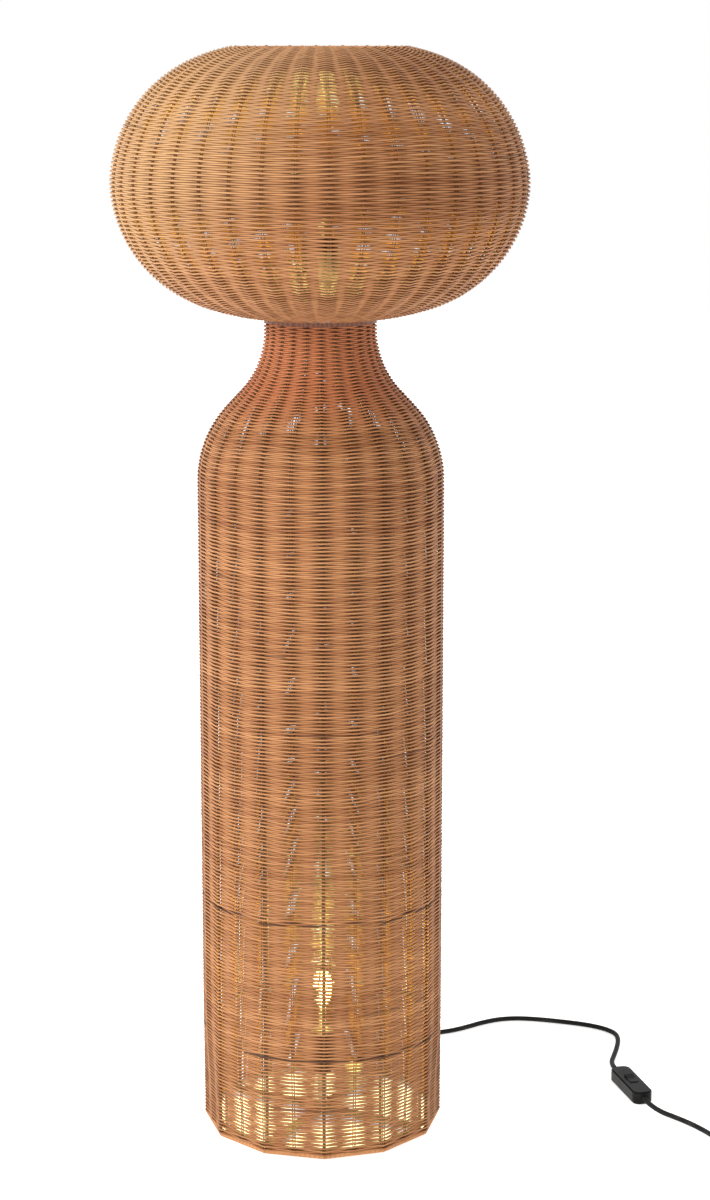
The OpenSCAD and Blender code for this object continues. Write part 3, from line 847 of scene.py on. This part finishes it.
@dataclass
class WovenWall:
    """Strands woven in closed rows round pairs of upright canes."""

    name: str
    outline: Outline
    body: Body
    stakes: int
    turn: float
    pitch: float
    thick: float
    replaced: str
    bands: int
    seed: int
    # Heights whose rows get dark strands: painted shade for the shadowed gaps between rows there.
    shaded_gap_rows: tuple[float, ...] = ()
    dye_z: float = 9.0
    stake_inset: float = 0.0022
    stake_r: float = 0.00065
    pair_gap: float = 0.0024
    knots: tuple[float, ...] = (-0.05, 0.05, 0.17, 0.37, 0.63, 0.83)
    swings: tuple[float, ...] = (1.0, 1.0, 0.58, 0.2, -0.2, -0.58)
    # How strongly strands facing the key light are painted lighter and yellower: painted light.
    lit_side_paint: float = 0.0
    wander: float = 0.00042
    loose_z: float = 0.0
    # Way toward the key light, left and up, for that painted light.
    lit_side_way: RGB = (-0.93, -0.05, 0.36)
    sides: int = 6
    step: float = 0.0035

    @property
    def segments(self) -> int:
        """Segments of a row from one stake pair to the next."""
        return len(self.knots)

    def rows(self) -> tuple[Array, Array]:
        """Middles and outward ways of the rows, from the foot up."""
        line = even_line(self.outline.line(self.stake_inset), self.pitch)
        ahead = np.gradient(line, axis=0)
        ahead /= np.linalg.norm(ahead, axis=1, keepdims=True)
        return line, np.stack([ahead[:, 1], -ahead[:, 0]], 1)

    def tints(self, line: Array, out: Array, turn: Array, rng: np.random.Generator) -> Array:
        """Dye lot, darker cane or painted gap shade, and the neck's dyed colour or painted light on the side
        toward the key light, of each row and segment.

        Args:
            line: the rows' middles.
            out: the rows' outward ways.
            turn: the segments' angles in degrees.
            rng: the wall's random numbers.

        Returns:
            Rows by segments by 3.
        """
        count, around = len(line), self.stakes * self.segments
        lots = np.repeat(rng.random(count // 7 + 2), 7)[:count]
        lot = 0.2 * lots[:, None] + 0.8 * rng.random((count, 1))
        lot = lot + 0.18 * np.repeat(rng.random((count, self.stakes)) - 0.5, self.segments, 1)
        stain_and_gap_shade = np.zeros((count, around))
        # Most spans of the listed rows get dark strands: painted shade for a shadowed gap.
        marked = [int(np.argmin(np.abs(line[:, 1] - z))) for z in self.shaded_gap_rows]
        for row in marked:
            kept = np.repeat(rng.random(self.stakes) < 0.72, self.segments)
            stain_and_gap_shade[row] = np.where(kept, 0.85, 0)
        # Short runs of darker cane here and there.
        for row in rng.integers(0, count, count // 26):
            first, spans = rng.integers(0, self.stakes), rng.integers(1, 4)
            places = (np.arange(spans * self.segments) + first * self.segments) % around
            stain_and_gap_shade[row, places] = 0.5
        dye_and_lit_side = np.clip((line[:, 1] - self.dye_z) / 0.05, 0, 0.8)[:, None]
        # Painted light: strands that face the key light, to the left and up, take the lighter colour.
        way, aim = np.radians(turn), np.array(self.lit_side_way)
        facing = out[:, :1] * (np.cos(way) * aim[0] + np.sin(way) * aim[1]) + out[:, 1:] * aim[2]
        dye_and_lit_side = dye_and_lit_side + self.lit_side_paint * smoothstep(facing / 0.9)
        return np.stack([lot, stain_and_gap_shade, np.broadcast_to(dye_and_lit_side, lot.shape)], -1)

    def drift(self, line: Array, turn: Array, rng: np.random.Generator) -> Array:
        """How far the rows wander up and down together.

        Args:
            line: the rows' middles.
            turn: the segments' angles in degrees.
            rng: the wall's random numbers.

        Returns:
            Rows by segments, in metres.
        """
        gone = np.arange(len(line)) * self.pitch
        ends = smoothstep(np.minimum(gone, gone[-1] - gone) / 0.03)
        total = np.zeros((len(line), len(turn)))
        for _ in range(6):
            waves, run, start = rng.integers(1, 7), rng.uniform(-40, 40), rng.uniform(0, 6.28)
            total += np.sin(np.radians(turn) * waves + gone[:, None] * run + start)
        return total * ends[:, None] * self.wander

    def skins(self, material: bpy.types.Material) -> list[bpy.types.Object]:
        """Make the woven rows, in bands.

        Args:
            material: the strands' finish.

        Returns:
            One object for each band.
        """
        rng = np.random.default_rng(self.seed)
        line, out = self.rows()
        count = len(line)
        places = (np.arange(self.stakes)[:, None] + np.array(self.knots)).ravel()
        turn = places * 360 / self.stakes + self.turn
        over = np.where(np.arange(self.stakes) % 2, -1.0, 1.0)
        phase = (over[:, None] * np.array(self.swings)).ravel()
        side = np.where(np.arange(count) % 2, -1.0, 1.0)
        loose = 1 - 0.075 * (1 - smoothstep((line[:, 1] - self.loose_z) / 0.03 + 0.5))
        thin = self.thick / 2 * (1 + 0.04 * (rng.random(count) - 0.5)) * loose
        swing = self.stake_r + self.thick / 2 + 0.00002
        jitter = np.repeat(rng.random((count, self.stakes)) - 0.5, self.segments, 1)
        jitter = (jitter + np.roll(jitter, 1, 1) + np.roll(jitter, 2, 1) + np.roll(jitter, 3, 1)) / 4
        off = side[:, None] * phase * swing + jitter * 0.00035
        rise = np.roll(jitter, 7, 1) * 0.0003 + self.drift(line, turn, rng)
        angle = np.arange(self.sides) * 2 * math.pi / self.sides + math.pi / 6
        n_r, n_z = out[:, 0, None, None], out[:, 1, None, None]
        near = off[..., None] + thin[:, None, None] * np.cos(angle)
        high = rise[..., None] + thin[:, None, None] * np.sin(angle)
        r = line[:, 0, None, None] + near * n_r - high * n_z
        z = line[:, 1, None, None] + near * n_z + high * n_r
        r = r * self.outline.squeeze(turn[:, None], z)
        way = np.radians(turn)[:, None]
        net = np.stack([r * np.cos(way), r * np.sin(way), z], -1)
        tint = self.tints(line, out, turn, rng)
        made = []
        for band, rows in enumerate(np.array_split(np.arange(count), self.bands)):
            surface = Surface()
            for place, row in enumerate(rows):
                flat = np.array([0, place / len(rows), 1, 0.94 / len(rows)])
                # The last value paints shade on the top and bottom of each strand's section, where it meets
                # the rows beside it.
                surface.grid(net[row], flat, True, tint[row], np.abs(np.sin(angle)) ** 1.3)
            piece = surface.make(f"{self.name}_{band}", material)
            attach(piece, self.body.value)
            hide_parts(self.replaced)
            made.append(piece)
        return made

    def canes(
        self, name: str, places: Iterable[int], node: str, material: bpy.types.Material
    ) -> bpy.types.Object:
        """Make pairs of upright canes.

        Args:
            name: the piece's name.
            places: which stakes, counted round the wall.
            node: the CAD node that they stand for.
            material: their finish.

        Returns:
            The object.
        """
        line = even_line(self.outline.line(self.stake_inset), self.step)
        places = list(places)
        surface = Surface()
        for k, place in enumerate(places):
            for which, shift in enumerate((-0.5, 0.5)):
                turn = self.turn + place * 360 / self.stakes
                beside = shift * self.pair_gap
                r = line[:, 0] * self.outline.squeeze(np.array(turn), line[:, 1])
                way = math.radians(turn)
                x = r * math.cos(way) - beside * math.sin(way)
                y = r * math.sin(way) + beside * math.cos(way)
                points = np.stack([x, y, line[:, 1]], 1)
                flat = np.array([0, (2 * k + which) / (2 * len(places)), 1, 0.4 / len(places)])
                tint = np.full((len(points), 3), (0.3 + 0.4 * ((k * 7 + which * 3) % 5) / 5, 0.0, 0.0))
                surface.grid(sweep(points, self.stake_r, 6, False), flat, False, tint)
        piece = surface.make(name, material)
        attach(piece, self.body.value)
        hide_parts(node)
        return piece


@dataclass
class BoundRim:
    """An edge of cane bound round with a strand."""

    name: str
    node: str
    body: Body
    radius: float
    thick: float
    turns: int
    outline: Optional[StandOutline] = None
    segments: int = 1440
    sides: int = 10

    def build(self, material: bpy.types.Material) -> bpy.types.Object:
        """Make the rim where its CAD node lies.

        Args:
            material: its finish.

        Returns:
            The object.
        """
        low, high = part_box(self.node)
        turn = np.arange(self.segments) * 360 / self.segments
        z = np.full(self.segments, (low.z + high.z) / 2)
        r = np.full(self.segments, self.radius)
        if self.outline is not None:
            r = r * self.outline.squeeze(turn, np.zeros(self.segments))
        way = np.radians(turn)
        line = np.stack([r * np.cos(way), r * np.sin(way), z], 1)
        section = np.arange(self.sides) * 2 * math.pi / self.sides
        ridge = np.abs(np.sin(way[:, None] * self.turns / 2 + section / 2))
        size = self.thick / 2 * (0.86 + 0.14 * ridge)
        lot = 0.5 + 0.3 * np.sin(way * self.turns / 2) * np.sin(way * 5)
        tint = np.stack([lot, np.full_like(lot, 0.12), np.zeros_like(lot)], 1)
        surface = Surface()
        surface.grid(sweep(line, size, self.sides, True), np.array([0.0, 0.0, 1.0, 1.0]), True, tint)
        piece = surface.make(self.name, material)
        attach(piece, self.body.value)
        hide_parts(self.node)
        return piece


# ---------------------------------------------------------------- the lamp


@dataclass
class Bulb:
    """What glows inside one bulb: a cage of filaments, and the light that it gives."""

    which: str
    body: Body
    strength: float
    power: float
    rods: int = 8
    cage_r: float = 0.0095
    rod_r: float = 0.0014
    height: float = 0.034
    warm: RGB = (1.0, 0.94, 0.26)

    def build(self) -> bpy.types.Object:
        """Make the filaments and their light.

        Returns:
            The filaments.
        """
        low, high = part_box(f"{self.which}_bulb_glass")
        middle = high.z - (high.x - low.x) / 2
        surface = Surface()
        z = np.linspace(-0.5, 0.5, 12) * self.height
        for k in range(self.rods):
            turn = 2 * math.pi * k / self.rods
            r = self.cage_r * (1 - 0.22 * (z / self.height * 2) ** 2)
            line = np.stack([r * math.cos(turn), r * math.sin(turn), middle + z], 1)
            flat = np.array([0, k / self.rods, 1, 0.9 / self.rods])
            surface.grid(sweep(line, self.rod_r, 8, False), flat, False)
        glow = FilamentFinish(f"{self.which}_filament_glow", self.warm, (1.0, 0.86, 0.55), self.strength)
        piece = surface.make(f"{self.which}_filaments", glow.material())
        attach(piece, self.body.value)
        data = bpy.data.lights.new(f"{self.which}_glow", "POINT")
        data.energy, data.color, data.shadow_soft_size = self.power, self.warm, 0.014
        lamp = bpy.data.objects.new(f"{self.which}_glow", data)
        lamp.location = (0.0, 0.0, middle)
        lamp.visible_camera = False
        bpy.context.scene.collection.objects.link(lamp)
        return piece


@dataclass
class Hardware:
    """Finishes for the pieces that keep their CAD shape."""

    def finishes(self) -> dict[str, bpy.types.Material]:
        """Make one material for each slot of the record.

        Returns:
            Materials by slot.
        """
        black = MouldedFinish("satin_black_plastic", (0.004, 0.004, 0.0045), (0.012, 0.012, 0.0125), 0.36)
        thread, finer = (200.0, 200.0, 1000.0), (200.0, 200.0, 1400.0)
        made = {
            "cane": CaneFinish("hoop_cane", (0.5, 0.27, 0.12), (0.22, 0.08, 0.03), (0.06, 0.02, 0.01)),
            "frame_steel": MetalFinish("frame_wire", (0.35, 0.34, 0.33), (0.16, 0.13, 0.11), 0.38),
            "threaded_steel": MetalFinish("zinc_thread", (0.62, 0.6, 0.56), (0.34, 0.32, 0.28), 0.3, thread),
            "collar_wood": WoodFinish("stained_wood", (0.26, 0.085, 0.035), (0.08, 0.022, 0.01)),
            "holder_plastic": black,
            "holder_ceramic": MouldedFinish(
                "glazed_ceramic", (0.78, 0.76, 0.7), (0.6, 0.57, 0.5), 0.18, coat=0.6
            ),
            "lead_plastic": MouldedFinish("lead_sleeve", (0.007, 0.007, 0.007), (0.02, 0.02, 0.02), 0.45),
            "white_lead": MouldedFinish("white_sleeve", (0.7, 0.68, 0.63), (0.5, 0.47, 0.42), 0.4),
            "terminal_plastic": MouldedFinish(
                "terminal_block", (0.66, 0.64, 0.58), (0.45, 0.42, 0.36), 0.35
            ),
            "tie_plastic": MouldedFinish("nylon_tie", (0.02, 0.02, 0.02), (0.06, 0.06, 0.06), 0.42),
            "cap_metal": MetalFinish("bulb_cap", (0.7, 0.66, 0.55), (0.4, 0.36, 0.28), 0.25, finer),
            "bulb_glass": ClearGlassFinish("bulb_glass"),
            "bulb_stem": MouldedFinish("glass_stem", (0.75, 0.74, 0.7), (0.6, 0.58, 0.52), 0.12, coat=0.5),
            "switch_plastic": black,
            "switch_metal": MetalFinish("small_screw", (0.5, 0.49, 0.47), (0.25, 0.24, 0.22), 0.3),
            "contact_brass": MetalFinish("brass", (0.72, 0.48, 0.18), (0.4, 0.22, 0.07), 0.28),
            "plug_rubber": MouldedFinish(
                "black_rubber", (0.008, 0.008, 0.008), (0.026, 0.026, 0.027), 0.52
            ),
            "pin_metal": MetalFinish("plug_pin", (0.72, 0.7, 0.66), (0.5, 0.47, 0.42), 0.2),
        }
        return {slot: finish.material() for slot, finish in made.items()}

    def dress(self, nodes: dict[str, bpy.types.Object], slots: dict[str, str]) -> None:
        """Give every CAD node that stays a finish.

        Args:
            nodes: CAD objects by name.
            slots: material slot of each node.
        """
        finishes = self.finishes()
        fallback = finishes["cane"]
        for name, piece in nodes.items():
            finish = finishes.get(slots.get(name, ""), fallback)
            for slot in piece.material_slots:
                slot.material = finish
            LOG.info("%s wears %s", name, finish.name)


@dataclass
class Lamp:
    """The whole lamp."""

    stand: StandOutline = field(default_factory=StandOutline)
    globe: GlobeOutline = field(default_factory=GlobeOutline)
    lead: Lead = field(default_factory=Lead)
    hardware: Hardware = field(default_factory=Hardware)
    strand_light: RGB = (0.84, 0.425, 0.18)
    strand_deep: RGB = (0.35, 0.115, 0.03)
    # Colour of the darker cane runs and of the painted gap shade.
    stain_and_gap_shade_colour: RGB = (0.07, 0.022, 0.01)
    # Lighter, yellower colour painted on the shade's strands that face the key light: painted light.
    lit_side_colour: RGB = (0.84, 0.53, 0.25)

    def strand(self, name: str, shade: float, dye_and_lit_side: RGB = (0.66, 0.22, 0.085)) -> bpy.types.Material:
        """Make a strand finish, darker or lighter than the wall's by a factor. Its last colour is the neck's
        dyed colour, or on the shade the painted light of its side toward the key light.
        """
        light = tuple(min(1.0, c * shade) for c in self.strand_light)
        deep = tuple(min(1.0, c * shade) for c in self.strand_deep)
        return CaneFinish(name, light, deep, self.stain_and_gap_shade_colour, dye_and_lit_side).material()

    def walls(self) -> None:
        """Make the stand's and the shade's weave."""
        # The stand's rows 0.113 m and 0.270 m up get dark strands: painted shade for shadowed gaps.
        body = WovenWall(
            "stand_weave", self.stand, Body.STAND, 24, self.stand.turn, 0.0020, 0.00242,
            "body_weave", 5, 11, shaded_gap_rows=(0.113, 0.270), dye_z=0.80, loose_z=0.113,
        )
        # The shade's strands facing the key light are painted lighter: painted light.
        shade = WovenWall(
            "shade_weave_rows", self.globe, Body.SHADE, 40, 3.2, 0.00225, 0.00262,
            "shade_weave", 4, 29, lit_side_paint=0.7,
        )
        body.skins(self.strand("stand_strand", 1.0))
        shade.skins(self.strand("shade_strand", 0.97, self.lit_side_colour))
        cane, main = self.strand("stake_cane", 0.42), self.strand("main_stake_cane", 0.28)
        body.canes("main_canes", range(0, 24, 2), "stakes_main", main)
        body.canes("between_canes", range(1, 24, 2), "stakes_between", cane)
        shade.canes("shade_canes", range(40), "shade_stakes", cane)
        LOG.info("walls woven")

    def rims(self) -> None:
        """Make the bound edges."""
        finish = self.strand("rim_cane", 0.85)
        BoundRim("foot_rim", "base_border", Body.STAND, 0.1311, 0.0062, 300, self.stand).build(finish)
        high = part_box("shade_top_border")[1]
        BoundRim("mouth_rim", "shade_top_border", Body.SHADE, high.x - 0.003, 0.006, 220).build(finish)
        LOG.info("rims bound")

    def bulbs(self) -> None:
        """Light both bulbs."""
        Bulb("lower", Body.LOWER_BULB, 17.0, 9.0).build()
        Bulb("upper", Body.UPPER_BULB, 2.2, 11.0).build()
        LOG.info("bulbs lit")


def slots_of(record: dict[str, Any]) -> dict[str, str]:
    """Find each node's material slot in the record.

    Args:
        record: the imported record.

    Returns:
        Slot names by node.
    """
    found: dict[str, str] = {}
    for entry in record.get("materials", []):
        for node in entry.get("nodes", entry.get("subparts", [])) or []:
            found[node] = entry.get("slot", "")
    for part in record.get("subparts", []):
        if isinstance(part, dict) and part.get("material_slot"):
            found[part.get("node", part.get("name", ""))] = part["material_slot"]
    return found


def main() -> None:
    """Build the lamp, its lead and its studio."""
    logging.basicConfig(level=logging.INFO, format="%(message)s")
    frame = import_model()
    studio = Studio()
    studio.camera()
    lamp = Lamp()
    slots = slots_of(frame["record"])
    lamp.hardware.dress(frame["nodes"], slots)
    rubber = frame["nodes"]["plug_body"].material_slots[0].material
    lamp.lead.build(rubber)
    lamp.walls()
    lamp.rims()
    lamp.bulbs()
    studio.floor()
    studio.lights()
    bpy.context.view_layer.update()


if __name__ == "__main__":
    main()
